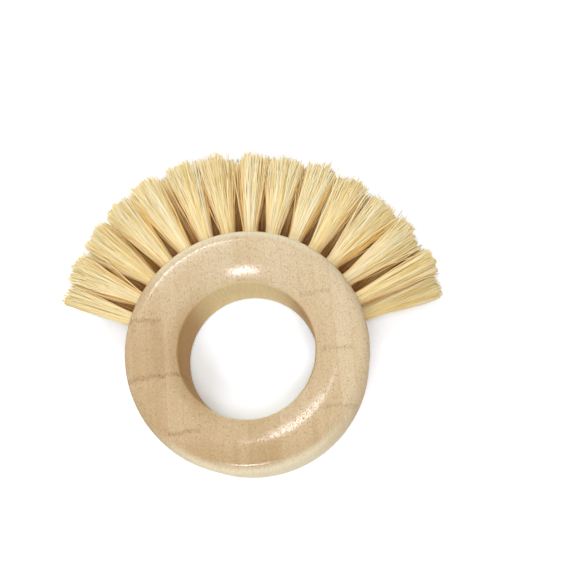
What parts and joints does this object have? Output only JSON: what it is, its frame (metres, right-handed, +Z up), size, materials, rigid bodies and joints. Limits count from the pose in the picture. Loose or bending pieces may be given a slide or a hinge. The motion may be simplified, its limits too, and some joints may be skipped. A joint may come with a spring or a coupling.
{
  "type": "vegetable brush",
  "caption": "Ring-handled vegetable brush: a turned bamboo ring with a finger hole, and a fan of plant-fibre tufts set in its outer wall for scrubbing produce.",
  "frame": {"origin": "middle of the underside of the whole brush's box, lying flat", "axes": "+Z up along the ring's axis, +Y from the ring towards the middle of the bristle fan, +X across the fan"},
  "size_m": [0.1318, 0.11, 0.033],
  "materials": {
    "bamboo": "laminated bamboo, turned, with a thin satin lacquer",
    "plant_fibre": "stiff pale straw-coloured plant fibre",
    "wire": "flat drawn wire"
  },
  "bodies": {
    "root": {"ring_handle": "bamboo", "front_tuft_01": "plant_fibre", "front_tuft_02": "plant_fibre", "front_tuft_03": "plant_fibre", "front_tuft_04": "plant_fibre", "front_tuft_05": "plant_fibre", "front_tuft_06": "plant_fibre", "front_tuft_07": "plant_fibre", "front_tuft_08": "plant_fibre", "front_tuft_09": "plant_fibre", "front_tuft_10": "plant_fibre", "front_tuft_11": "plant_fibre", "front_tuft_12": "plant_fibre", "front_tuft_13": "plant_fibre", "front_tuft_14": "plant_fibre", "back_tuft_01": "plant_fibre", "back_tuft_02": "plant_fibre", "back_tuft_03": "plant_fibre", "back_tuft_04": "plant_fibre", "back_tuft_05": "plant_fibre", "back_tuft_06": "plant_fibre", "back_tuft_07": "plant_fibre", "back_tuft_08": "plant_fibre", "back_tuft_09": "plant_fibre", "back_tuft_10": "plant_fibre", "back_tuft_11": "plant_fibre", "back_tuft_12": "plant_fibre", "back_tuft_13": "plant_fibre", "back_tuft_14": "plant_fibre", "front_anchor_01": "wire", "front_anchor_02": "wire", "front_anchor_03": "wire", "front_anchor_04": "wire", "front_anchor_05": "wire", "front_anchor_06": "wire", "front_anchor_07": "wire", "front_anchor_08": "wire", "front_anchor_09": "wire", "front_anchor_10": "wire", "front_anchor_11": "wire", "front_anchor_12": "wire", "front_anchor_13": "wire", "front_anchor_14": "wire", "back_anchor_01": "wire", "back_anchor_02": "wire", "back_anchor_03": "wire", "back_anchor_04": "wire", "back_anchor_05": "wire", "back_anchor_06": "wire", "back_anchor_07": "wire", "back_anchor_08": "wire", "back_anchor_09": "wire", "back_anchor_10": "wire", "back_anchor_11": "wire", "back_anchor_12": "wire", "back_anchor_13": "wire", "back_anchor_14": "wire"}
  },
  "joints": []
}
